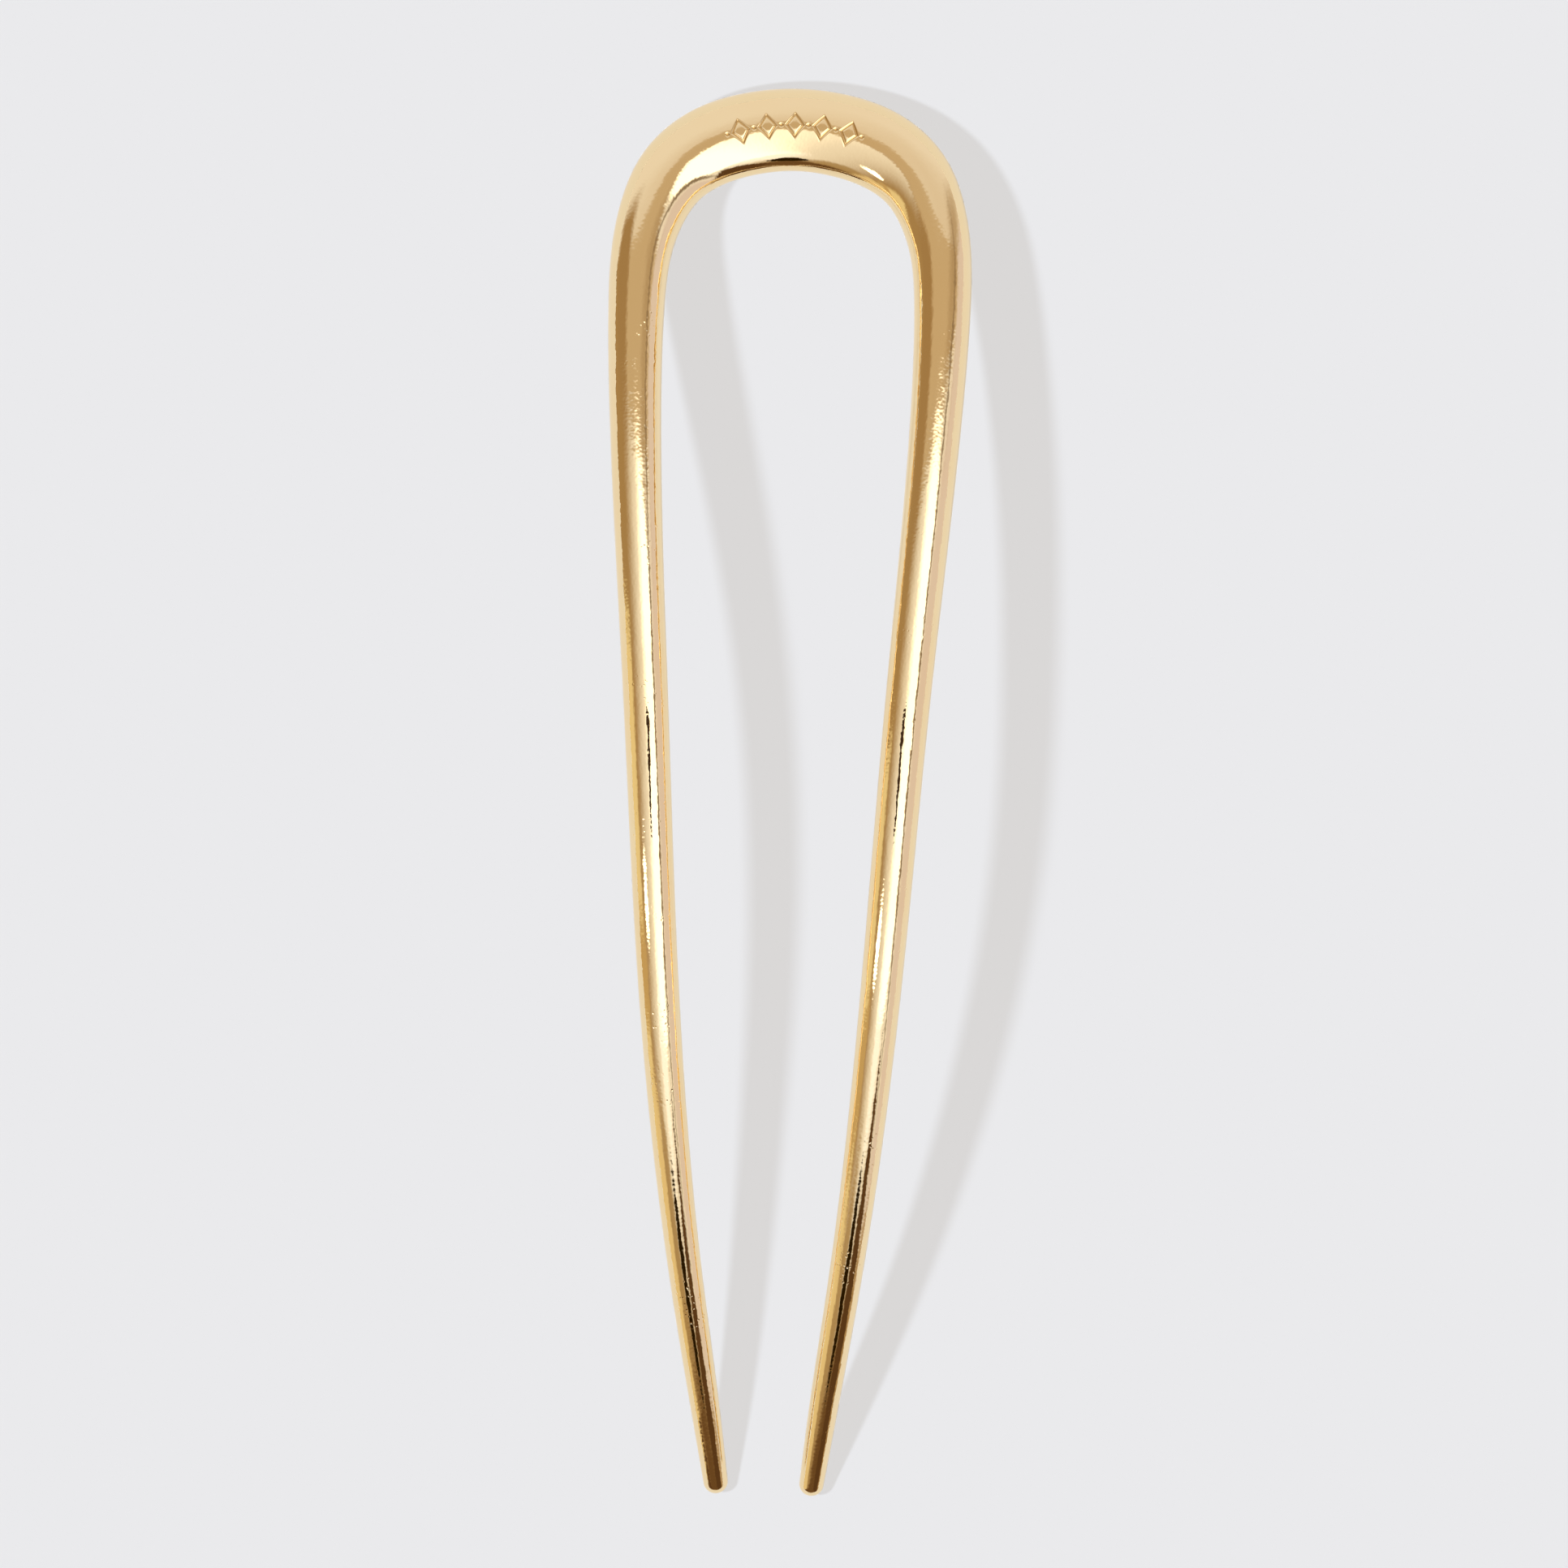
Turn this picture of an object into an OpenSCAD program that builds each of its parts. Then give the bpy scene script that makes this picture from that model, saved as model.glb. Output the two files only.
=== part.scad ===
// French hair pin: one cast and plated piece of metal, bent into a long narrow U.
// The crown is the wide rounded bend at the top. The two prongs run down from it,
// taper, lean towards each other and end in small round tips.
// Seen from the side the whole pin is arched, so that it hugs the head: lying down,
// it rests on the crown and on both tips, and its legs stand clear of the surface.
// X runs across the pin, Y along it towards the crown, and Z up from the surface.

/* [Pin] */
// Length from the top of the crown to the tips
pin_length = 120; // [100:1:140]
// Width across the shoulders
pin_width = 30.7; // [26:0.1:36]
// Height of the middle of the arched legs above the surface
arch_height = 17.1; // [13:0.1:21]

/* [Metal] */
// Width of the metal at the top of the crown
crown_width = 7.4; // [6:0.1:8.8]
// Thickness of the metal at the top of the crown
crown_thickness = 4.5; // [3.6:0.1:5.4]

/* [Smoothness] */
// Rings of points between two stations of the table
rings_per_span = 6; // [3:1:6]
// Points round each ring
ring_sides = 32; // [16:4:32]
// Rings that round off each tip
tip_rings = 5; // [3:1:6]

/* [Hidden] */

// Sizes that the two tables below are drawn for
drawn_length = 120;
drawn_width = 30.7;
drawn_height = 17.1;
drawn_crown_width = 7.4;
drawn_crown_thickness = 4.5;

// Columns of the station table
ACROSS = 0;
ALONG = 1;
WIDTH = 2;
THICKNESS = 3;

// Stations along the centre line of one leg, from the middle of the crown to the tip:
// across, along, width of the metal, thickness of the metal
STATIONS = [
    [0.0, 56.4, 7.4, 4.5],
    [3.7, 56.0, 7.4, 4.5],
    [7.2, 54.8, 7.2, 4.5],
    [10.2, 52.4, 6.5, 4.5],
    [11.9, 49.1, 5.7, 4.5],
    [12.65, 46.0, 5.2, 4.5],
    [12.95, 41.0, 4.8, 4.4],
    [12.7, 32.0, 4.4, 4.3],
    [11.0, 8.0, 3.8, 3.8],
    [9.2, -18.0, 3.4, 3.4],
    [6.6, -42.0, 2.8, 2.8],
    [5.1, -52.0, 2.5, 2.5],
    [4.1, -59.0, 2.1, 2.1]
];

// The arch, seen from the side: along, height of the centre line above the surface
ARCH = [
    [-59.0, 1.0],
    [-42.0, 7.9],
    [-30.0, 11.6],
    [-18.0, 14.2],
    [-5.0, 15.3],
    [8.0, 14.6],
    [20.0, 12.7],
    [32.0, 9.9],
    [46.0, 6.0],
    [56.4, 2.5]
];

// Scale of each direction, from the sizes at the top
length_scale = pin_length / drawn_length;
width_scale = pin_width / drawn_width;
height_scale = arch_height / drawn_height;
metal_width_scale = crown_width / drawn_crown_width;
metal_thickness_scale = crown_thickness / drawn_crown_thickness;

// One leg at its real size, then the whole U from the left tip to the right tip
leg = [
    for (s = STATIONS)
        [
            s[ACROSS] * width_scale,
            s[ALONG] * length_scale,
            s[WIDTH] * metal_width_scale,
            s[THICKNESS] * metal_thickness_scale
        ]
];
other_leg = [
    for (i = [len(leg) - 1:-1:1])
        [-leg[i][ACROSS], leg[i][ALONG], leg[i][WIDTH], leg[i][THICKNESS]]
];
path = concat(other_leg, leg);
arch = [for (a = ARCH) [a[0] * length_scale, a[1] * height_scale]];

// A smooth curve through a row of values: a natural cubic spline, whose bend has no jumps,
// so that polished metal made from it shows no kinks in its reflections.
// knots are the places of the values on the curve's own measure.

// Forward pass of the spline's equations: for each inner knot, a factor and a right side
function spline_forward(knots, values, i, rows) =
    i >= len(knots) - 1 ? rows :
    let (
        before = knots[i] - knots[i - 1],
        after = knots[i + 1] - knots[i],
        jump = (values[i + 1] - values[i]) / after - (values[i] - values[i - 1]) / before,
        pivot = 2 * (before + after) - before * rows[i - 1][0],
        row = [after / pivot, (6 * jump - before * rows[i - 1][1]) / pivot]
    )
    spline_forward(knots, values, i + 1, concat(rows, [row]));

// Backward pass: the bend at each knot, from the last knot to the first
function spline_backward(rows, i, bends) =
    i < 0 ? bends :
    spline_backward(rows, i - 1, concat([rows[i][1] - rows[i][0] * bends[0]], bends));

// Bend at every knot, none at the two ends
function spline_bends(knots, values) =
    let (
        none = values[0] * 0,
        rows = spline_forward(knots, values, 1, [[0, none]])
    )
    spline_backward(rows, len(rows) - 1, [none]);

// Value of the spline at a place between knots i and i + 1
function spline_value(knots, values, bends, i, place) =
    let (
        span = knots[i + 1] - knots[i],
        b = (place - knots[i]) / span,
        a = 1 - b
    )
    a * values[i] + b * values[i + 1]
    + ((a * a * a - a) * bends[i] + (b * b * b - b) * bends[i + 1]) * span * span / 6;

// Slope of the spline at a place between knots i and i + 1
function spline_slope(knots, values, bends, i, place) =
    let (
        span = knots[i + 1] - knots[i],
        b = (place - knots[i]) / span,
        a = 1 - b
    )
    (values[i + 1] - values[i]) / span
    + ((1 - 3 * a * a) * bends[i] + (3 * b * b - 1) * bends[i + 1]) * span / 6;

// Length of the straight steps from the first station up to station i
function steps_to(points, i) =
    i == 0 ? 0 :
    steps_to(points, i - 1)
    + norm([points[i][ACROSS] - points[i - 1][ACROSS], points[i][ALONG] - points[i - 1][ALONG]]);

// Span of the arch table that holds a place along the pin; the end spans reach past the ends
function arch_span(along, i = 0) =
    i >= len(arch) - 2 || along < arch[i + 1][0] ? i : arch_span(along, i + 1);

path_knots = [for (i = [0:len(path) - 1]) steps_to(path, i)];
path_bends = spline_bends(path_knots, path);
arch_knots = [for (a = arch) a[0]];
arch_heights = [for (a = arch) a[1]];
arch_bends = spline_bends(arch_knots, arch_heights);

// Height and slope of the arch at a place along the pin
function arch_height_at(along) =
    spline_value(arch_knots, arch_heights, arch_bends, arch_span(along), along);
function arch_slope_at(along) =
    spline_slope(arch_knots, arch_heights, arch_bends, arch_span(along), along);

function unit(v) = v / norm(v);

// Everything that one ring needs, at a place in span i of the path:
// its centre, its direction along the metal, its side, its upward side and its two half sizes
function section_at(i, place) =
    let (
        at = spline_value(path_knots, path, path_bends, i, place),
        way = spline_slope(path_knots, path, path_bends, i, place),
        slope = arch_slope_at(at[ALONG]),
        forward = unit([way[ACROSS], way[ALONG], slope * way[ALONG]]),
        side = unit(cross(forward, [0, -slope, 1])),
        up = cross(side, forward)
    )
    [
        [at[ACROSS], at[ALONG], arch_height_at(at[ALONG])],
        forward,
        side,
        up,
        at[WIDTH] / 2,
        at[THICKNESS] / 2
    ];

sections = concat(
    [
        for (i = [0:len(path) - 2])
            for (j = [0:rings_per_span - 1])
                let (span = path_knots[i + 1] - path_knots[i])
                section_at(i, path_knots[i] + span * j / rings_per_span)
    ],
    [section_at(len(path) - 2, path_knots[len(path) - 1])]
);

// One oval ring: moved ahead along the metal and shrunk, as on a rounded tip
function ring(s, ahead = 0, shrink = 1) =
    [
        for (k = [0:ring_sides - 1])
            let (angle = 360 * k / ring_sides)
            s[0] + s[1] * ahead
            + s[2] * s[4] * shrink * cos(angle)
            + s[3] * s[5] * shrink * sin(angle)
    ];

// Angles of the rings on a tip, from its pole down to the end of the path
tip_angles = [for (j = [1:tip_rings]) 90 * (1 - j / (tip_rings + 1))];
first = sections[0];
last = sections[len(sections) - 1];
left_tip = [for (t = tip_angles) ring(first, -first[4] * sin(t), cos(t))];
right_tip = [for (t = tip_angles) ring(last, last[4] * sin(t), cos(t))];
rings = concat(
    left_tip,
    [for (s = sections) ring(s)],
    [for (j = [tip_rings - 1:-1:0]) right_tip[j]]
);
left_pole = first[0] - first[1] * first[4];
right_pole = last[0] + last[1] * last[4];
raw_points = concat([for (r = rings) each r], [left_pole, right_pole]);

// The pin is set down on the surface, on its crown and on both tips, by a slight tip
// about the X axis, and its box is centred over the origin
function lowest(some) = min([for (p = some) p[2]]);
tips_along = path[0][ALONG];
crown_along = path[len(leg) - 1][ALONG];
tips_low = lowest([for (p = raw_points) if (p[1] < 0) p]);
crown_low = lowest([for (p = raw_points) if (p[1] > 0) p]);
middle = (min([for (p = raw_points) p[1]]) + max([for (p = raw_points) p[1]])) / 2;
points = [
    for (p = raw_points)
        let (share = (p[1] - tips_along) / (crown_along - tips_along))
        p - [0, middle, tips_low + share * (crown_low - tips_low)]
];

// Number of point k on ring r
function point_number(r, k) = r * ring_sides + k % ring_sides;
last_ring = len(rings) - 1;
left_pole_number = len(rings) * ring_sides;
right_pole_number = left_pole_number + 1;

wall_faces = [
    for (r = [0:last_ring - 1])
        for (k = [0:ring_sides - 1])
            each [
                [point_number(r, k), point_number(r + 1, k + 1), point_number(r + 1, k)],
                [point_number(r, k), point_number(r, k + 1), point_number(r + 1, k + 1)]
            ]
];
left_faces = [
    for (k = [0:ring_sides - 1])
        [left_pole_number, point_number(0, k + 1), point_number(0, k)]
];
right_faces = [
    for (k = [0:ring_sides - 1])
        [right_pole_number, point_number(last_ring, k), point_number(last_ring, k + 1)]
];

// The whole pin: crown, shoulders, both prongs and their round tips in one piece
module pin() {
    color([0.93, 0.74, 0.42])
        polyhedron(points = points, faces = concat(wall_faces, left_faces, right_faces));
}

pin();
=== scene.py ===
# %% [markdown]
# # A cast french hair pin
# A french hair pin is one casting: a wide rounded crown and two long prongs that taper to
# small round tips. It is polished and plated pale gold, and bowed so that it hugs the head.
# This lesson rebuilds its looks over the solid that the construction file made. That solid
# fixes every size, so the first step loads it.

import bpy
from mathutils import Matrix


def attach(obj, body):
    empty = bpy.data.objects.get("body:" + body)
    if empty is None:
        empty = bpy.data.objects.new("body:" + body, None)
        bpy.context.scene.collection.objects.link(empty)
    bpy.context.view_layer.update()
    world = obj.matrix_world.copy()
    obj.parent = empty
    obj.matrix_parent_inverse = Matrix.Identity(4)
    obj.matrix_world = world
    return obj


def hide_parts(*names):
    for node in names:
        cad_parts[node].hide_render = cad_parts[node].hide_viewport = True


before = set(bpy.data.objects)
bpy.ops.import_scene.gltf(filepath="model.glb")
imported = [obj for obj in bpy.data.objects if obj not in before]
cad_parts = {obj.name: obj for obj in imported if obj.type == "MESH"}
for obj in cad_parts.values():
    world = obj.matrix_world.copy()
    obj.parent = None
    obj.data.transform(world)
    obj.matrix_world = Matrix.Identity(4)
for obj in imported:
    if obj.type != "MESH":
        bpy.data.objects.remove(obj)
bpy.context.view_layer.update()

# %% [markdown]
# Every size below is in millimetres, as a maker would write it, and MM turns it into metres.

# %% Tools and units
import math

import bmesh
import bpy
import numpy as np
from mathutils import Matrix, Vector

MM = 0.001
print("Blender", bpy.app.version_string)

# %% [markdown]
# ## The line that the metal follows
# The pin is a bar swept along a U. It could be modelled from a bent cylinder, but a caster
# would draw it as here: stations along the middle of the metal, each with its width and its
# thickness, and a second short table for the bow, seen from the side. One leg is enough,
# because the other is its mirror image.

# %% Stations and bow
# Each station has its place across and along the pin, its width and its thickness.
STATIONS = np.array([
    [0.0, 56.4, 7.4, 4.5],
    [3.7, 56.0, 7.4, 4.5],
    [7.2, 54.8, 7.2, 4.5],
    [10.2, 52.4, 6.5, 4.5],
    [11.9, 49.1, 5.7, 4.5],
    [12.65, 46.0, 5.2, 4.5],
    [12.95, 41.0, 4.8, 4.4],
    [12.7, 32.0, 4.4, 4.3],
    [11.0, 8.0, 3.8, 3.8],
    [9.2, -18.0, 3.4, 3.4],
    [6.6, -42.0, 2.8, 2.8],
    [5.1, -52.0, 2.5, 2.5],
    [4.1, -59.0, 2.1, 2.1],
])
# Each point of the bow has its place along the pin and its height.
BOW = np.array([
    [-59.0, 1.0],
    [-42.0, 7.9],
    [-30.0, 11.6],
    [-18.0, 14.2],
    [-5.0, 15.3],
    [8.0, 14.6],
    [20.0, 12.7],
    [32.0, 9.9],
    [46.0, 6.0],
    [56.4, 2.5],
])
mirrored = STATIONS[:0:-1] * [-1, 1, 1, 1]
path = np.vstack([mirrored, STATIONS])
steps = np.linalg.norm(np.diff(path[:, :2], axis=0), axis=1)
path_knots = np.concatenate([[0.0], np.cumsum(steps)])
middle_place = path_knots[len(mirrored)]
print("stations on the whole U:", len(path), "length in mm:", round(path_knots[-1], 1))

# %% [markdown]
# Polished metal shows every kink of a curve as a kink in its reflections. So the tables are
# joined by a natural cubic spline, whose bend has no jumps. This helper returns both the
# value and the slope, because the slope gives the direction of the metal.


# %% A smooth curve through a table
def natural_spline(knots, values):
    """Returns a function that gives the value and the slope at any place between the knots."""
    gaps = np.diff(knots)
    jumps = np.diff(np.diff(values, axis=0) / gaps[:, None], axis=0)
    system = np.diag(2 * (gaps[:-1] + gaps[1:]))
    system += np.diag(gaps[1:-1], 1) + np.diag(gaps[1:-1], -1)
    bends = np.zeros_like(values)
    bends[1:-1] = np.linalg.solve(system, 6 * jumps)

    def at(places):
        span = np.clip(np.searchsorted(knots, places, side="right") - 1, 0, len(gaps) - 1)
        gap = gaps[span][:, None]
        b = (places - knots[span])[:, None] / gap
        a = 1 - b
        low, high = values[span], values[span + 1]
        bend_low, bend_high = bends[span], bends[span + 1]
        value = a * low + b * high
        value = value + ((a**3 - a) * bend_low + (b**3 - b) * bend_high) * gap**2 / 6
        slope = (high - low) / gap
        slope = slope + ((1 - 3 * a**2) * bend_low + (3 * b**2 - 1) * bend_high) * gap / 6
        return value, slope

    return at


path_at = natural_spline(path_knots, path)
bow_at = natural_spline(BOW[:, 0], BOW[:, 1:])
heights = bow_at(np.linspace(BOW[0, 0], BOW[-1, 0], 200))[0]
print("highest point of the middle line in mm:", round(heights.max(), 2))

# %% [markdown]
# ## The rail
# The rail is a row of points along the middle line. Each point carries what its ring needs:
# a side, an upward side and two half sizes. The rings stand very close together on the crown,
# because the engraving needs them, and further apart along the legs. At each end a few rings
# move ahead and shrink like the rings of a ball, so that the tip is round.

# %% Places of the rings
FINE_STEP = 0.05
COARSE_STEP = 0.8
FINE_REACH = 6.4
FADE = 6.0
TIP_RINGS = 14


def step_at(distance):
    fade = min(max((distance - FINE_REACH) / FADE, 0.0), 1.0)
    return FINE_STEP + (COARSE_STEP - FINE_STEP) * fade


half_length = path_knots[-1] - middle_place
half_places = [0.0]
while half_places[-1] < half_length:
    half_places.append(half_places[-1] + step_at(half_places[-1]))
half_places = np.array(half_places) * half_length / half_places[-1]
places = middle_place + np.concatenate([-half_places[:0:-1], half_places])
print("rings along the U:", len(places), "and on the tips:", 2 * TIP_RINGS)


# %% [markdown]
# A ring stands square to the line. Its side lies in the bowed surface that hugs the head, and
# its upward side stands out of that surface. Both follow from the slopes of the two curves.


# %% The rail's points
def unit(vectors):
    return vectors / np.linalg.norm(vectors, axis=1)[:, None]


value, slope = path_at(places)
height, rise = bow_at(value[:, 1])
rise = rise[:, 0]
none = np.zeros_like(rise)
centre = np.column_stack([value[:, 0], value[:, 1], height[:, 0]])
forward = unit(np.column_stack([slope[:, 0], slope[:, 1], rise * slope[:, 1]]))
side = unit(np.cross(forward, np.column_stack([none, -rise, none + 1])))
up = np.cross(side, forward)
half_width = value[:, 2] / 2
half_thickness = value[:, 3] / 2
print("half width and half thickness of the crown in mm:", half_width.max(), half_thickness.max())

# %% [markdown]
# A tip is half a ball. Its rings keep the direction of the last ring of the leg, move ahead as
# the sine of an angle and shrink as its cosine, so the tip meets the leg without an edge.

# %% The rings of the tips
angles = np.radians(90 * np.arange(TIP_RINGS, 0, -1) / TIP_RINGS)
reach = np.sin(angles) * half_width[0]
ahead = np.concatenate([-reach, none, reach[::-1]])[:, None]
shrink = np.concatenate([np.cos(angles), none + 1, np.cos(angles)[::-1]])[:, None]


def with_tips(rows):
    """Repeats the first and the last row for the rings of the tips."""
    return np.pad(rows.reshape(len(places), -1), ((TIP_RINGS, TIP_RINGS), (0, 0)), mode="edge")


rail_centre = (with_tips(centre) + with_tips(forward) * ahead) * MM
rail_numbers = {
    "side": with_tips(side),
    "up": with_tips(up),
    "half_width": with_tips(half_width) * shrink * MM,
    "half_thickness": with_tips(half_thickness) * shrink * MM,
    "run": (with_tips(places - middle_place) + ahead) * MM,
}
print("reach of a tip in mm:", round(reach.max(), 2))

# %% [markdown]
# The rail becomes a mesh of loose points. Its numbers ride on it as attributes, because that
# is what a node tree can read.

# %% The rail as a mesh
rail = bpy.data.meshes.new("rail")
rail.vertices.add(len(rail_centre))
rail.vertices.foreach_set("co", rail_centre.ravel())
for name, numbers in rail_numbers.items():
    kind, field = ("FLOAT_VECTOR", "vector") if numbers.shape[1] == 3 else ("FLOAT", "value")
    attribute = rail.attributes.new(name, kind, "POINT")
    attribute.data.foreach_set(field, numbers.astype(np.float32).ravel())
print("points on the rail:", len(rail.vertices))

# %% [markdown]
# ## Writing node trees in a few words
# Both the sweep and the finishes are node trees. They could be wired by hand in the editor.
# In a script, one small helper that adds a node and fills its inputs keeps them readable.


# %% Helpers for node trees
def feed(tree, socket, value):
    """Joins a socket to a node's output, or sets its own value."""
    if isinstance(value, Number):
        value = value.socket
    if isinstance(value, bpy.types.NodeSocket):
        tree.links.new(value, socket)
    else:
        socket.default_value = value


def node(tree, kind, inputs=None, **settings):
    """Adds one node with its settings, and fills its inputs by name or number."""
    made = tree.nodes.new(kind)
    for name, value in settings.items():
        setattr(made, name, value)
    for key, value in (inputs or {}).items():
        feed(tree, made.inputs[key], value)
    return made


print("node helpers ready")

# %% [markdown]
# A sum takes one Math node for each of its signs. This class adds them, so that the trees
# below can be written as sums such as `a * b + 1`.


# %% Sums in a node tree
class Number:
    """A number in a node tree. Sums with it add Math nodes."""

    def __init__(self, tree, socket):
        self.tree = tree
        self.socket = socket

    def do(self, operation, *others):
        made = node(self.tree, "ShaderNodeMath", operation=operation)
        for socket, value in zip(made.inputs, (self,) + others):
            feed(self.tree, socket, value)
        return Number(self.tree, made.outputs[0])

    def __add__(self, other):
        return self.do("ADD", other)

    def __sub__(self, other):
        return self.do("SUBTRACT", other)

    def __mul__(self, other):
        return self.do("MULTIPLY", other)

    def __truediv__(self, other):
        return self.do("DIVIDE", other)

    def soft_step(self, start, end):
        """Rises smoothly from 0 at start to 1 at end."""
        made = node(
            self.tree,
            "ShaderNodeMapRange",
            {"Value": self, "From Min": start, "From Max": end},
            interpolation_type="SMOOTHSTEP",
        )
        return Number(self.tree, made.outputs["Result"])

    def window(self, start, full, fading, gone):
        """Rises from start to full, stays, and falls from fading to gone."""
        return self.soft_step(start, full) * self.soft_step(gone, fading)


print("sums ready")

# %% [markdown]
# ## Sweeping the bar
# A curve with a bevel could sweep a round bar, but not one whose oval section turns, widens
# and thins along the way. So a Geometry Nodes tree lays a flat grid, one row for each point
# of the rail, and rolls each row into an oval ring with the numbers that the rail carries.
# The columns crowd together on the upper side, the side that is looked at. The seam and the
# two poles are then merged, so that the skin is closed.

# %% The sweep tree
sweep = bpy.data.node_groups.new("swept_bar", "GeometryNodeTree")
sweep.interface.new_socket("Rail", in_out="INPUT", socket_type="NodeSocketGeometry")
columns_input = sweep.interface.new_socket("Columns", in_out="INPUT", socket_type="NodeSocketInt")
number_inputs = {
    name: sweep.interface.new_socket(name, in_out="INPUT", socket_type="NodeSocketFloat")
    for name in ("Crowding on top", "Groove depth", "Groove width", "Pitch")
}
sweep.interface.new_socket("Skin", in_out="OUTPUT", socket_type="NodeSocketGeometry")
given = node(sweep, "NodeGroupInput")
rail_in = given.outputs["Rail"]
columns = Number(sweep, given.outputs["Columns"])
rows = node(sweep, "GeometryNodeAttributeDomainSize", {"Geometry": rail_in}, component="MESH")
grid = node(
    sweep,
    "GeometryNodeMeshGrid",
    {"Vertices X": rows.outputs["Point Count"], "Vertices Y": columns},
)
number = Number(sweep, node(sweep, "GeometryNodeInputIndex").outputs[0])
row = ((number + 0.5) / columns).do("FLOOR")
turn = (number - row * columns) / (columns - 1.0) * math.tau
crowding = Number(sweep, given.outputs["Crowding on top"])
angle = turn - crowding * (turn - math.tau / 4).do("SINE")
print("nodes for the flat grid and its angles:", len(sweep.nodes))


# %% [markdown]
# Each point of the grid looks up the numbers of its own row on the rail. Its turn round the
# ring then gives how far it reaches to the side and upwards, as on an ellipse.


# %% Reading the rail
def from_rail(name, kind="FLOAT"):
    """The rail's number or vector at this vertex's row."""
    read = node(sweep, "GeometryNodeInputNamedAttribute", {"Name": name}, data_type=kind)
    taken = node(
        sweep,
        "GeometryNodeSampleIndex",
        {"Geometry": rail_in, "Value": read.outputs["Attribute"], "Index": row},
        data_type=kind,
    )
    return taken.outputs["Value"]


def scaled(vector, factor):
    made = node(sweep, "ShaderNodeVectorMath", {0: vector, "Scale": factor}, operation="SCALE")
    return made.outputs["Vector"]


def total(first, second):
    made = node(sweep, "ShaderNodeVectorMath", {0: first, 1: second}, operation="ADD")
    return made.outputs["Vector"]


run = Number(sweep, from_rail("run"))
reach_side = Number(sweep, from_rail("half_width")) * angle.do("COSINE")
reach_up = Number(sweep, from_rail("half_thickness")) * angle.do("SINE")
print("nodes for the rings:", len(sweep.nodes))

# %% [markdown]
# ## The engraving on the crown
# The crown carries a shallow engraved border: five lozenges in a row with dots between them,
# a plain pattern as old as metalwork. A texture could paint it, but a real groove catches the
# light by itself. Each lozenge is the line where two shares, one along and one across, add
# up to one. A row of them is the same sum with the place along the bar wrapped at each pitch.

# %% Engraved lozenges and dots
LOZENGE_HALF = (0.72 * MM, 0.96 * MM)
DOT_RADIUS = 0.08 * MM
BORDER_HALF = 6.1 * MM
BORDER_SHIFT = 0.5 * MM
FLOOR_SHARE = 0.05
SOFT_EDGE = 0.1 * MM
pitch = Number(sweep, given.outputs["Pitch"])
groove = Number(sweep, given.outputs["Groove width"]) / 2
from_lozenge = (((run / pitch + 0.5).do("FRACT") - 0.5) * pitch).do("ABSOLUTE")
from_crest = (reach_side - BORDER_SHIFT).do("ABSOLUTE")
half_along, half_across = LOZENGE_HALF
to_line = (from_lozenge / half_along + from_crest / half_across - 1.0).do("ABSOLUTE")
to_line = to_line * (half_along * half_across / math.hypot(half_along, half_across))
beside = from_lozenge - pitch / 2
to_dot = (beside * beside + from_crest * from_crest).do("SQRT") - DOT_RADIUS
nearest = to_line.do("MINIMUM", to_dot + groove * FLOOR_SHARE)
cut = nearest.soft_step(groove, groove * FLOOR_SHARE)
inside = run.do("ABSOLUTE").soft_step(BORDER_HALF + SOFT_EDGE, BORDER_HALF)
on_top = reach_up.soft_step(0.0, SOFT_EDGE)
depth = cut * inside * on_top * Number(sweep, given.outputs["Groove depth"])
print("engraved length in mm:", round(2 * BORDER_HALF / MM, 1))

# %% [markdown]
# Now each point gets its place. The depth of the groove is taken off the upward reach, so the
# engraving is real relief. Two attributes stay on the skin for the finish: where the point
# lies on the bar as if the bar were straight, and how far it lies in a groove.

# %% The swept skin
MERGE_DISTANCE = 0.0002 * MM
place = total(
    from_rail("position", "FLOAT_VECTOR"),
    total(
        scaled(from_rail("side", "FLOAT_VECTOR"), reach_side),
        scaled(from_rail("up", "FLOAT_VECTOR"), reach_up - depth),
    ),
)
rolled = node(sweep, "GeometryNodeSetPosition", {"Geometry": grid.outputs["Mesh"], "Position": place})
straight = node(sweep, "ShaderNodeCombineXYZ", {"X": run, "Y": reach_side, "Z": reach_up})
marked = node(
    sweep,
    "GeometryNodeStoreNamedAttribute",
    {"Geometry": rolled.outputs[0], "Name": "straight", "Value": straight.outputs[0]},
    data_type="FLOAT_VECTOR",
    domain="POINT",
)
marked = node(
    sweep,
    "GeometryNodeStoreNamedAttribute",
    {"Geometry": marked.outputs[0], "Name": "cut", "Value": cut * inside * on_top},
    data_type="FLOAT",
    domain="POINT",
)
closed = node(
    sweep,
    "GeometryNodeMergeByDistance",
    {"Geometry": marked.outputs[0], "Distance": MERGE_DISTANCE},
)
smooth = node(sweep, "GeometryNodeSetShadeSmooth", {"Geometry": closed.outputs[0]})
real = node(sweep, "GeometryNodeRealizeInstances", {"Geometry": smooth.outputs[0]})
plated = node(sweep, "GeometryNodeSetMaterial", {"Geometry": real.outputs[0]})
node(sweep, "NodeGroupOutput", {"Skin": plated.outputs[0]})
print("nodes in the sweep:", len(sweep.nodes))
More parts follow.
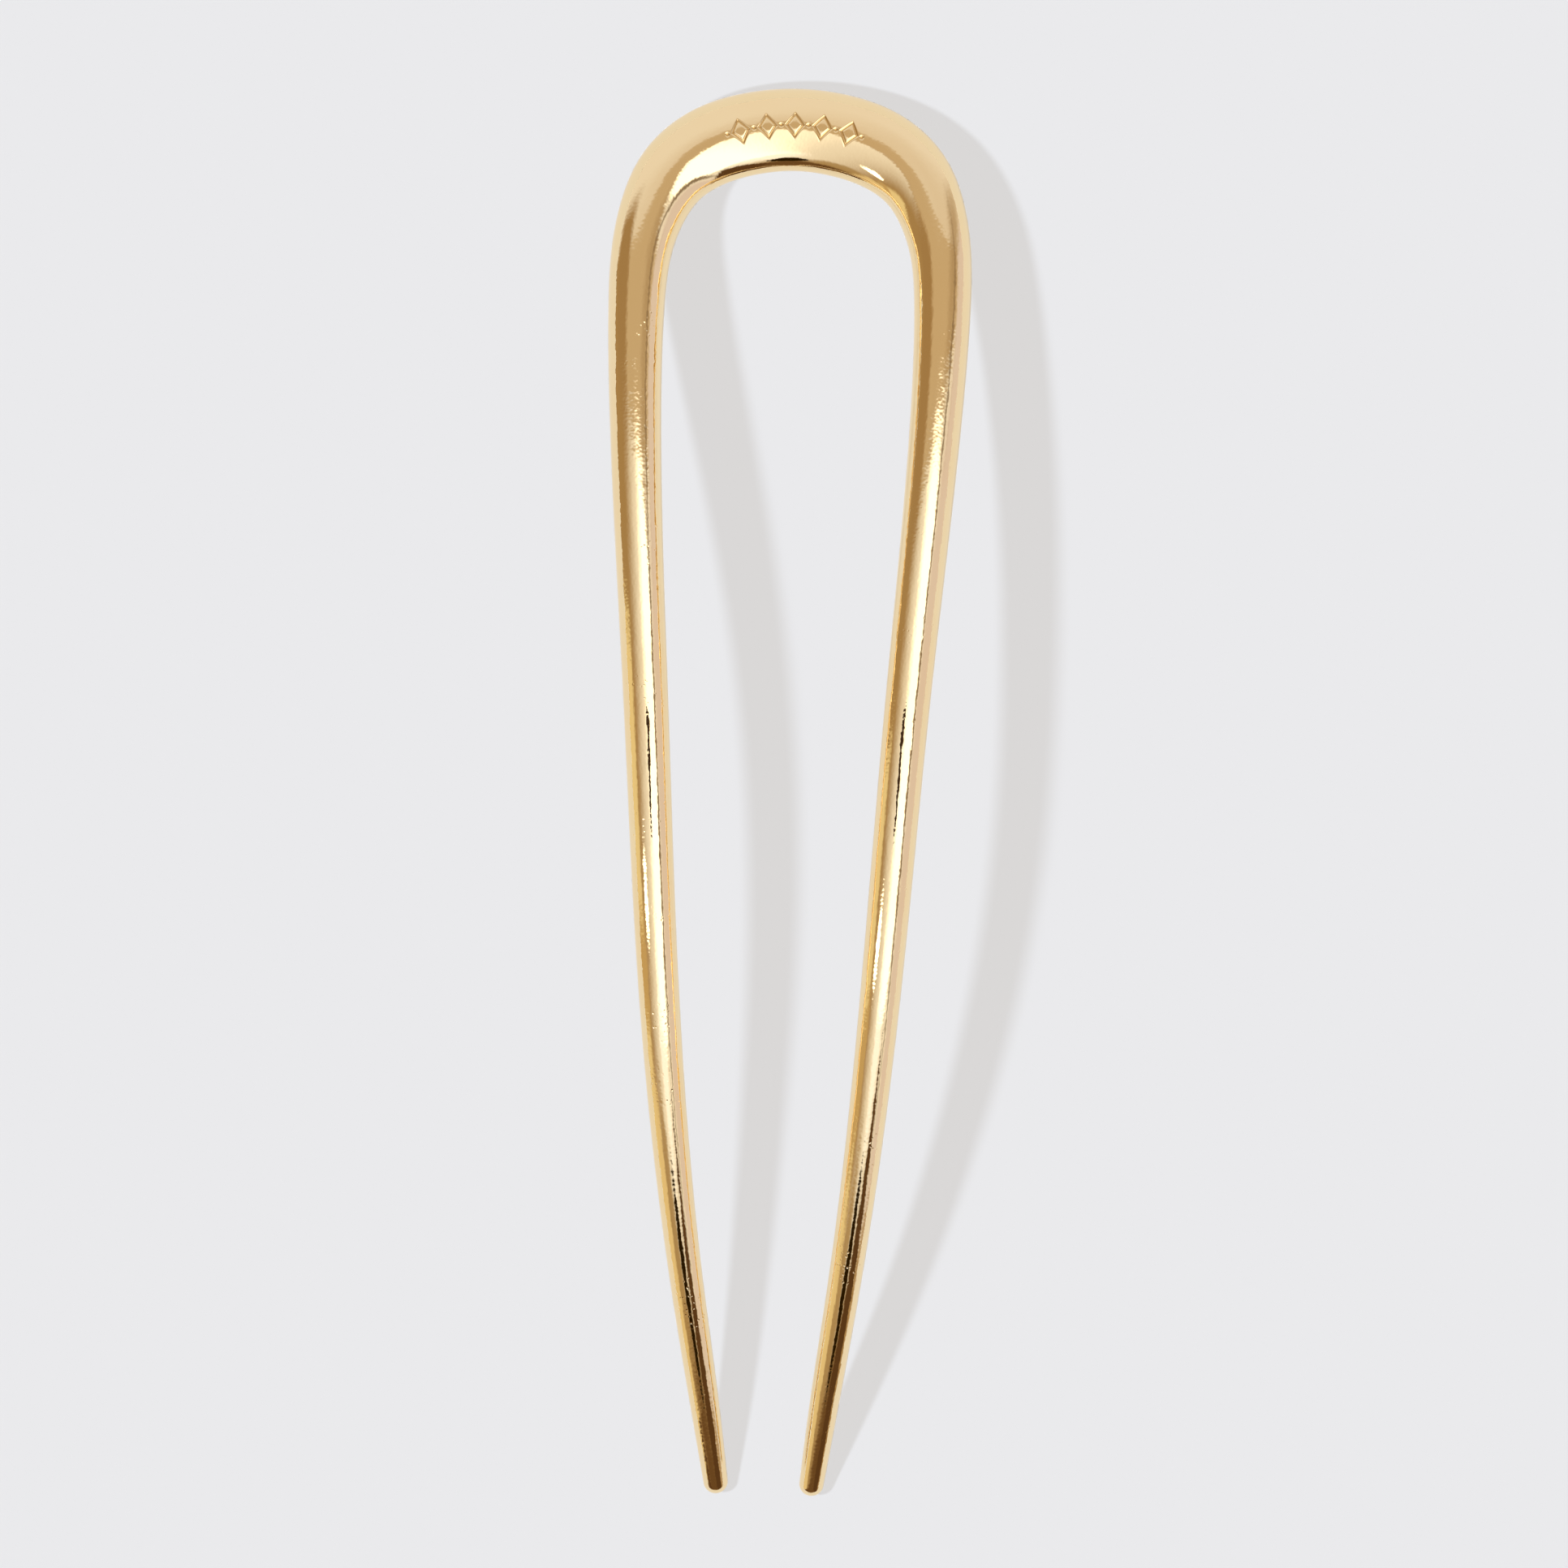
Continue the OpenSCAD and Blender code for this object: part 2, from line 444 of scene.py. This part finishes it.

# %% [markdown]
# ## The plating
# The pin is cast in a zinc alloy, polished and plated with a thin layer of pale gold. Gold
# plate is a metal, so its whole look is the colour and the gloss of its reflections. The tone
# drifts a little from place to place. The grooves are coloured a deeper, browner gold, and they
# are duller, because the polishing wheel doesn't reach into them. The noise reads the place on
# the piece, in metres, so it stays put from every side.

# %% The plating's material
WARM_GOLD = (1.0, 0.775, 0.44, 1.0)
PALE_GOLD = (1.0, 0.795, 0.47, 1.0)
GROOVE_GOLD = (0.70, 0.44, 0.16, 1.0)
TONE_PATCHES = 70.0
TONE_EDGES = (0.3, 0.7)
GLOSS_PATCHES = 260.0
GLOSS_EDGES = (0.35, 0.75)
BEST_GLOSS = 0.045
GLOSS_DRIFT = 0.03
GROOVE_DULLNESS = 0.22
gold = bpy.data.materials.new("pale_gold_plate")
gold.use_nodes = True
finish = gold.node_tree
shader = finish.nodes["Principled BSDF"]
shader.inputs["Metallic"].default_value = 1.0
spot = node(finish, "ShaderNodeTexCoord").outputs["Object"]
groove_floor = node(finish, "ShaderNodeAttribute", attribute_name="cut").outputs["Fac"]


def noise(scale, detail=2.0, roughness=0.5, vector=spot):
    """A soft noise with about that many bumps to the metre."""
    made = node(
        finish,
        "ShaderNodeTexNoise",
        {"Vector": vector, "Scale": scale, "Detail": detail, "Roughness": roughness},
    )
    return Number(finish, made.outputs["Fac"])


def blend(tree, share, first, second, **settings):
    """Goes from the first colour to the second as the share goes from 0 to 1."""
    colours = {"Factor": share, "A": first, "B": second}
    return node(tree, "ShaderNodeMix", colours, data_type="RGBA", **settings).outputs["Result"]


tone = blend(finish, noise(TONE_PATCHES).soft_step(*TONE_EDGES), WARM_GOLD, PALE_GOLD)
feed(finish, shader.inputs["Base Color"], blend(finish, groove_floor, tone, GROOVE_GOLD))
gloss = noise(GLOSS_PATCHES).soft_step(*GLOSS_EDGES) * GLOSS_DRIFT + BEST_GLOSS
gloss = gloss + Number(finish, groove_floor) * GROOVE_DULLNESS
feed(finish, shader.inputs["Roughness"], gloss)
print("nodes for colour and gloss:", len(finish.nodes))

# %% [markdown]
# A mirror finish shows a wave of a thousandth of a millimetre as a ragged edge in the
# reflections. The bar is polished along its length, so the broad waves are drawn out that
# way, and the crown, which is polished with more care, has less of them. A few casting pits
# stay open on the legs. All this is far too fine to model, so it is bump.

# %% The skin's fine waves and pits
WAVE_HEIGHT = 0.015 * MM
BROAD_WAVES = 1000.0
MIDDLE_WAVES = 2300.0
MIDDLE_SHARE = 0.8
FINE_WAVES = 4200.0
FINE_SHARE = 0.35
DRAWN_OUT = (0.45, 1.0, 1.0)
CROWN_SHARE = 0.45
CROWN_REACH = 9 * MM
LEGS_START = 30 * MM
PITS = 2600.0
PIT_EDGES = (0.32, 0.05)
PIT_DEPTH = 0.9
PIT_PATCHES = 190.0
PATCH_EDGES = (0.56, 0.66)
bar_spot = node(finish, "ShaderNodeAttribute", attribute_name="straight").outputs["Vector"]
along_bar = node(finish, "ShaderNodeSeparateXYZ", {0: bar_spot}).outputs["X"]
on_legs = Number(finish, along_bar).do("ABSOLUTE").soft_step(CROWN_REACH, LEGS_START)
stretch = node(finish, "ShaderNodeVectorMath", {0: bar_spot, 1: DRAWN_OUT}, operation="MULTIPLY")
stretched = stretch.outputs["Vector"]
waves = noise(BROAD_WAVES, 0.0, vector=stretched)
waves = waves + noise(MIDDLE_WAVES, 1.0, vector=stretched) * MIDDLE_SHARE
waves = waves + noise(FINE_WAVES, 0.0, vector=bar_spot) * FINE_SHARE
waves = waves * (on_legs * (1 - CROWN_SHARE) + CROWN_SHARE)
cells = node(finish, "ShaderNodeTexVoronoi", {"Vector": bar_spot, "Scale": PITS})
patches = noise(PIT_PATCHES).soft_step(*PATCH_EDGES) * on_legs
pit = Number(finish, cells.outputs["Distance"]).soft_step(*PIT_EDGES) * patches
relief = waves - pit * PIT_DEPTH
bump = node(finish, "ShaderNodeBump", {"Height": relief, "Distance": WAVE_HEIGHT})
bump.inputs["Strength"].default_value = 1.0
feed(finish, shader.inputs["Normal"], bump.outputs["Normal"])
plated.inputs["Material"].default_value = gold
print("nodes in the plating:", len(finish.nodes))

# %% [markdown]
# ## The casting
# The tree runs on the rail, and its result is kept as a plain mesh. The mesh has to be closed
# and its faces have to point outwards, so its open edges and its volume are measured.

# %% Sweep the casting
COLUMNS = 145
CROWDING = 0.75
casting = bpy.data.objects.new("casting", rail)
bpy.context.scene.collection.objects.link(casting)
modifier = casting.modifiers.new("sweep", "NODES")
modifier.node_group = sweep
modifier[columns_input.identifier] = COLUMNS
for name, value in (
    ("Crowding on top", CROWDING),
    ("Groove depth", 0.08 * MM),
    ("Groove width", 0.34 * MM),
    ("Pitch", 2.4 * MM),
):
    modifier[number_inputs[name].identifier] = value
evaluated = casting.evaluated_get(bpy.context.evaluated_depsgraph_get())
casting.data = bpy.data.meshes.new_from_object(evaluated)
casting.modifiers.clear()
skin = bmesh.new()
skin.from_mesh(casting.data)
if skin.calc_volume(signed=True) < 0:
    bmesh.ops.reverse_faces(skin, faces=skin.faces)
open_edges = sum(len(edge.link_faces) != 2 for edge in skin.edges)
volume = skin.calc_volume() / MM**3
skin.to_mesh(casting.data)
skin.free()
print("faces:", len(casting.data.polygons), "open edges:", open_edges, "mm3:", round(volume))

# %% [markdown]
# The pin is then set down as it lies on a table: on its crown and on both tips, with its box
# centred. The drop grows evenly from the tips to the crown, so the bow keeps its shape.

# %% Set it down
points = np.empty(3 * len(casting.data.vertices), np.float32)
casting.data.vertices.foreach_get("co", points)
points = points.reshape(-1, 3).astype(float)
along = points[:, 1]
tips_low = points[along < 0, 2].min()
crown_low = points[along > 0, 2].min()
share = (along / MM - STATIONS[-1, 1]) / (STATIONS[0, 1] - STATIONS[-1, 1])
points[:, 2] -= tips_low + share * (crown_low - tips_low)
points[:, 1] -= (along.min() + along.max()) / 2
casting.data.vertices.foreach_set("co", points.astype(np.float32).ravel())
casting.data.update()
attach(casting, "root")
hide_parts("pin")
print("lowest points were in mm:", round(tips_low / MM, 3), round(crown_low / MM, 3))

# %% [markdown]
# ## The table top
# The pin lies on an even, very pale grey surface. It is a plain matt disc.

# %% The table top
ROOM_RADIUS = 3.0
ROOM_SEGMENTS = 96
WHITE_LEVEL = 0.8


def soft_material(name):
    made = bpy.data.materials.new(name)
    made.use_nodes = True
    made.node_tree.nodes.clear()
    return made


pale = soft_material("pale_table")
matt = node(pale.node_tree, "ShaderNodeBsdfDiffuse", {"Color": (WHITE_LEVEL,) * 3 + (1.0,)})
node(pale.node_tree, "ShaderNodeOutputMaterial", {"Surface": matt.outputs[0]})
disc = bmesh.new()
bmesh.ops.create_circle(disc, cap_ends=True, radius=ROOM_RADIUS, segments=ROOM_SEGMENTS)
table_mesh = bpy.data.meshes.new("table")
disc.to_mesh(table_mesh)
disc.free()
table_mesh.materials.append(pale)
table = bpy.data.objects.new("table", table_mesh)
bpy.context.scene.collection.objects.link(table)
print("table radius in m:", ROOM_RADIUS)

# %% [markdown]
# ## The studio that the metal reflects
# Polished metal has no look of its own: it shows the room. A product photographer therefore
# builds the room: a large soft lamp overhead, pale cloth behind and at the sides, a grey card
# on the right, and dark things in front for contrast. Each could be a thing of its own. Here
# they lie on one dome, about as far away as the small lamp, because then each is placed by
# two angles from straight overhead, to the right and to the back. Each hides those before it.

# %% The cloths and cards of the dome
# Each card has its name, its turn, its left, right, front and back edge, and its colour.
# Angles are in degrees. Each edge has two of them, between which the card fades, going from
# left to right and from front to back.
OPEN_START = (-400, -390)
OPEN_END = (390, 400)
CARDS = (
    ("side cloth", 0, OPEN_START, (-98, -84), OPEN_START, OPEN_END, (0.85, 0.78, 0.68)),
    ("gold card", 0, OPEN_START, (-68, -54), OPEN_START, (11, 18), (0.80, 0.69, 0.43)),
    ("its gap", 0, (-95, -85), (-58, -48), (-30, -24), (-17, -11), (0.55, 0.40, 0.20)),
    ("left cloth", 0, OPEN_START, (-84, -66), OPEN_START, (-53, -43), (0.90, 0.84, 0.80)),
    ("ceiling", 0, (-60, 0), (60, 61), (-56, -34), (30.5, 35), (0.92, 0.92, 0.96)),
    ("tan rail", 0, (-46, -30), OPEN_END, (30.5, 35), OPEN_END, (0.57, 0.455, 0.325)),
    ("shaded cloth", 0, OPEN_START, OPEN_END, (44, 46.5), OPEN_END, (0.73, 0.665, 0.62)),
    ("back cloth", 0, OPEN_START, OPEN_END, (50, 75), OPEN_END, (0.83, 0.81, 0.84)),
    ("back, left", 0, OPEN_START, (-8, 16), (40, 64), OPEN_END, (0.83, 0.81, 0.83)),
    ("leaning card", 30, (62, 72), OPEN_END, OPEN_START, (8, 14), (0.73, 0.665, 0.73)),
    ("grey card", 0, (45, 58), OPEN_END, (-52, -44), (20, 40), (0.73, 0.665, 0.73)),
    ("dark cloth", 0, (-43, -28), (36, 48), OPEN_START, (-59, -47), (0.14, 0.075, 0.03)),
    ("table edge", 0, OPEN_START, OPEN_END, OPEN_START, (-93, -82), (0.55, 0.42, 0.27)),
    ("right cloth", 0, (60, 74), OPEN_END, OPEN_START, (-58, -48), (0.87, 0.82, 0.88)),
)
print("cards:", len(CARDS))

# %% [markdown]
# Lamps, corners and stands have no long straight edges, so they are rounded shapes.

# %% The lamps and dark things of the dome
# Each shape has its name, its centre and half sizes in degrees, its turn, its squareness,
# which is 2 for an oval and more for a box with round corners, and the softness of its edge.
# Then come where it fades in, from left to right, how much it hides, and its colour.
SHAPES = (
    ("brown wall", (-53, 43), (20, 13), 0, 3, 0.35, OPEN_START, 1.0, (0.36, 0.24, 0.12)),
    ("gold corner", (-59, -48), (17, 16), -20, 3, 0.3, OPEN_START, 1.0, (0.76, 0.63, 0.38)),
    ("brown corner", (-30, -44), (16, 12), 0, 2, 0.4, OPEN_START, 0.9, (0.40, 0.285, 0.145)),
    ("dark corner", (-45, -68), (16, 8), 0, 2, 0.15, OPEN_START, 0.9, (0.08, 0.03, 0.01)),
    ("shade of a card", (46, 46), (24, 9), 36, 2, 0.7, OPEN_START, 0.75, (0.41, 0.30, 0.19)),
    ("lamp's dim end", (9, -24), (16, 13), 0, 2, 0.35, OPEN_START, 1.0, (1.15, 1.2, 1.4)),
    ("soft lamp", (11.5, 4), (29.5, 28), -5, 4, 0.08, (-11, 15), 1.0, (2.0, 2.0, 2.0)),
    ("gap", (45, 4), (4, 40), 0, 2, 0.6, OPEN_START, 0.9, (0.20, 0.14, 0.09)),
    ("dark stand", (33.5, -57), (21, 28), 0, 1.2, 0.15, OPEN_START, 1.0, (0.10, 0.05, 0.02)),
    ("black foot", (-0.5, -46), (12, 9), 0, 2, 0.15, OPEN_START, 1.0, (0.02, 0.01, 0.0)),
    ("small lamp", (-38, -10), (8, 4.5), 0, 2, 0.5, OPEN_START, 1.0, (4.0, 4.0, 4.0)),
)
print("rounded shapes:", len(SHAPES))

# %% [markdown]
# The dome's material starts by turning each place on the dome into its two angles. The dome
# isn't sampled as a lamp, because it lights nothing.

# %% Angles on the dome
glow = soft_material("studio_dome")
glow.cycles.emission_sampling = "NONE"
dome_tree = glow.node_tree
place_on_dome = node(dome_tree, "ShaderNodeTexCoord").outputs["Object"]
split = node(dome_tree, "ShaderNodeSeparateXYZ", {0: place_on_dome})
x, y, z = (Number(dome_tree, socket) for socket in split.outputs)
level = (x * x + y * y).do("SQRT")
degrees = level.do("ARCTAN2", z) * math.degrees(1)
to_right = degrees * x / level
to_back = degrees * y / level


def turned(right, back, turn):
    """The same place in axes that are turned by some degrees."""
    if turn == 0:
        return right, back
    cosine, sine = math.cos(math.radians(turn)), math.sin(math.radians(turn))
    return right * cosine + back * sine, back * cosine - right * sine


print("nodes for the angles:", len(dome_tree.nodes))

# %% [markdown]
# Every card and every shape is then a mask between 0 and 1 that lays its colour over the
# colours so far, starting from the brown of the bare wall.

# %% The dome's material
WALL_COLOUR = (0.38, 0.26, 0.13)
colour = WALL_COLOUR + (1.0,)
for name, turn, left, right, front, back, card_colour in CARDS:
    across, along = turned(to_right, to_back, turn)
    mask = across.window(*left, *right) * along.window(*front, *back)
    colour = blend(dome_tree, mask, colour, card_colour + (1.0,), label=name)
for name, centre, half, turn, squareness, softness, fade_in, share, shape_colour in SHAPES:
    across, along = turned(to_right - centre[0], to_back - centre[1], turn)
    across = (across / half[0]).do("ABSOLUTE").do("POWER", squareness)
    along = (along / half[1]).do("ABSOLUTE").do("POWER", squareness)
    reach = (across + along).do("POWER", 1 / squareness)
    mask = reach.soft_step(1 + softness, 1 - softness) * to_right.soft_step(*fade_in) * share
    colour = blend(dome_tree, mask, colour, shape_colour + (1.0,), label=name)
light_out = node(dome_tree, "ShaderNodeEmission", {"Color": colour, "Strength": 1.0})
node(dome_tree, "ShaderNodeOutputMaterial", {"Surface": light_out.outputs[0]})
print("nodes in the dome:", len(dome_tree.nodes))

# %% [markdown]
# The dome is half a ball that stands on the table. It shows in the metal and nowhere else,
# so it can be drawn for its reflection alone, and the lamps further down can be set for the
# table alone. The pin lies turned a little in the picture, and the room isn't turned with it.

# %% The dome
DOME_RADIUS = 0.4
DOME_SEGMENTS = 96
BELOW_TABLE = -0.001
PIN_TURN = math.radians(1.4)


def hide_from_all_but_gloss(thing):
    thing.visible_camera = False
    thing.visible_diffuse = False
    thing.visible_shadow = False
    bpy.context.scene.collection.objects.link(thing)


ball = bmesh.new()
bmesh.ops.create_uvsphere(
    ball, u_segments=DOME_SEGMENTS, v_segments=DOME_SEGMENTS // 2, radius=DOME_RADIUS
)
below = [vertex for vertex in ball.verts if vertex.co.z < BELOW_TABLE]
bmesh.ops.delete(ball, geom=below, context="VERTS")
dome_mesh = bpy.data.meshes.new("studio_dome")
ball.to_mesh(dome_mesh)
ball.free()
dome_mesh.materials.append(glow)
dome = bpy.data.objects.new("studio_dome", dome_mesh)
dome.rotation_euler.z = PIN_TURN
hide_from_all_but_gloss(dome)
print("dome faces:", len(dome_mesh.polygons))

# %% [markdown]
# A small dark card hangs just above the pin and draws the fine dark streak along the middle of
# the legs. On the dome it would also make a spot on the crown. So it is a thing of its own,
# turned until the crown sees only its thin edge.


# %% The hanging card
def studio_point(right, back, height):
    """A point to the right, to the back and up from the pin, in mm, as the picture lies."""
    return Matrix.Rotation(PIN_TURN, 3, "Z") @ Vector((right, back, height)) * MM


CARD_MIDDLE = (0.0, 9.0, 118.0)
SEEN_EDGE_ON_FROM = (0.0, 54.0, 6.0)
CARD_HALF = (8.5, 34.0)
DARK_PAPER = (0.05, 0.03, 0.02, 1.0)
card_middle = studio_point(*CARD_MIDDLE)
down_card = (studio_point(*SEEN_EDGE_ON_FROM) - card_middle).normalized() * CARD_HALF[1] * MM
across_card = studio_point(CARD_HALF[0], 0, 0)
card_mesh = bpy.data.meshes.new("hanging_card")
signs = ((-1, -1), (1, -1), (1, 1), (-1, 1))
corners = [card_middle + a * across_card + b * down_card for a, b in signs]
card_mesh.from_pydata(corners, [], [(0, 1, 2, 3)])
black_paper = soft_material("black_paper")
faint = node(black_paper.node_tree, "ShaderNodeEmission", {"Color": DARK_PAPER})
node(black_paper.node_tree, "ShaderNodeOutputMaterial", {"Surface": faint.outputs[0]})
card_mesh.materials.append(black_paper)
hide_from_all_but_gloss(bpy.data.objects.new("hanging_card", card_mesh))
print("card in mm:", [2 * half for half in CARD_HALF])

# %% [markdown]
# ## The lamps that light the table
# One small lamp on the left throws the shadow. The rest is a fill without a shadow, as from
# a white room. How bright the table has to be, lit and in the shadow, gives the strength and
# the tint of both. A matt surface shows its white level times the light that falls on it,
# divided by pi.

# %% The fill
LIT_TABLE = (0.823, 0.823, 0.839)
SHADED_TABLE = (0.701, 0.687, 0.680)
LIGHT_PER_LEVEL = math.pi / WHITE_LEVEL


def add_lamp(name, kind, light):
    """Adds a lamp with its light in red, green and blue, which the metal doesn't show."""
    made = bpy.data.lights.new(name, kind)
    made.energy = max(light)
    made.color = [share / made.energy for share in light]
    lamp = bpy.data.objects.new(name, made)
    lamp.visible_glossy = False
    bpy.context.scene.collection.objects.link(lamp)
    return lamp


fill = add_lamp("fill", "SUN", [level * LIGHT_PER_LEVEL for level in SHADED_TABLE])
fill.data.use_shadow = False
fill.data.cycles.cast_shadow = False
print("strength of the fill:", round(fill.data.energy, 3))

# %% [markdown]
# The small lamp is hidden from the metal, because the dome already shows it as the bright
# glint on the legs. A bare lamp would light the table less and less with the distance, so
# this one is made stronger by that much, and the table is even.

# %% The small lamp
LAMP_PLACE = (-195.0, -62.0, 312.0)
LAMP_RADIUS = 15.0
missing = [lit - shaded for lit, shaded in zip(LIT_TABLE, SHADED_TABLE)]
light_around = [4 * math.pi * LIGHT_PER_LEVEL * level for level in missing]
key = add_lamp("small_lamp", "POINT", light_around)
key.data.shadow_soft_size = LAMP_RADIUS * MM
key.location = studio_point(*LAMP_PLACE)
key.data.use_nodes = True
lamp_tree = key.data.node_tree
steady = node(lamp_tree, "ShaderNodeLightFalloff", {"Strength": 1.0}).outputs["Constant"]
distance = Number(lamp_tree, node(lamp_tree, "ShaderNodeLightPath").outputs["Ray Length"])
bulb = lamp_tree.nodes["Emission"]
feed(lamp_tree, bulb.inputs["Strength"], distance / (LAMP_PLACE[2] * MM) * steady)
print("strength of the small lamp:", round(key.data.energy, 3))

# %% [markdown]
# Beyond the table the camera sees air that is as bright as the table, and that lights
# nothing. Spots of light that the metal would throw on the table are switched off, because
# they come out as noise. The view stays plain, so that a level in the scene is the same in
# the picture.

# %% The air around
world = bpy.data.worlds.new("pale_room")
bpy.context.scene.world = world
world.use_nodes = True
world.node_tree.nodes["Background"].inputs["Color"].default_value = LIT_TABLE + (1.0,)
world.cycles_visibility.diffuse = False
world.cycles_visibility.glossy = False
scene = bpy.context.scene
scene.cycles.caustics_reflective = False
scene.view_settings.view_transform = "Standard"
print("view:", scene.view_settings.view_transform)

# %% [markdown]
# ## Camera
# The picture is taken from above, from about 0.7 m and a little from the right, with a long
# lens, so that the legs hardly draw together.

# %% The camera
FRAME_WIDTH = 134.08
CAMERA_HEIGHT = 702.2
CAMERA_LEAN = 26.05
FRAME_CENTRE = (0.271, 0.687)

aim = studio_point(*FRAME_CENTRE, 0)
eye = studio_point(FRAME_CENTRE[0] + CAMERA_LEAN, FRAME_CENTRE[1], CAMERA_HEIGHT)
back_axis = (eye - aim).normalized()
right_axis = (Matrix.Rotation(PIN_TURN, 3, "Z") @ Vector((0, 1, 0))).cross(back_axis).normalized()
up_axis = back_axis.cross(right_axis)
camera_data = bpy.data.cameras.new("camera")
camera_data.sensor_fit = "HORIZONTAL"
camera_data.angle = 2 * math.atan(FRAME_WIDTH * MM / 2 / (eye - aim).length)
camera = bpy.data.objects.new("camera", camera_data)
bpy.context.scene.collection.objects.link(camera)
camera.matrix_world = Matrix.Translation(eye) @ Matrix(
    (right_axis, up_axis, back_axis)
).transposed().to_4x4()
bpy.context.scene.camera = camera
print("lens in mm:", round(camera_data.lens, 1))
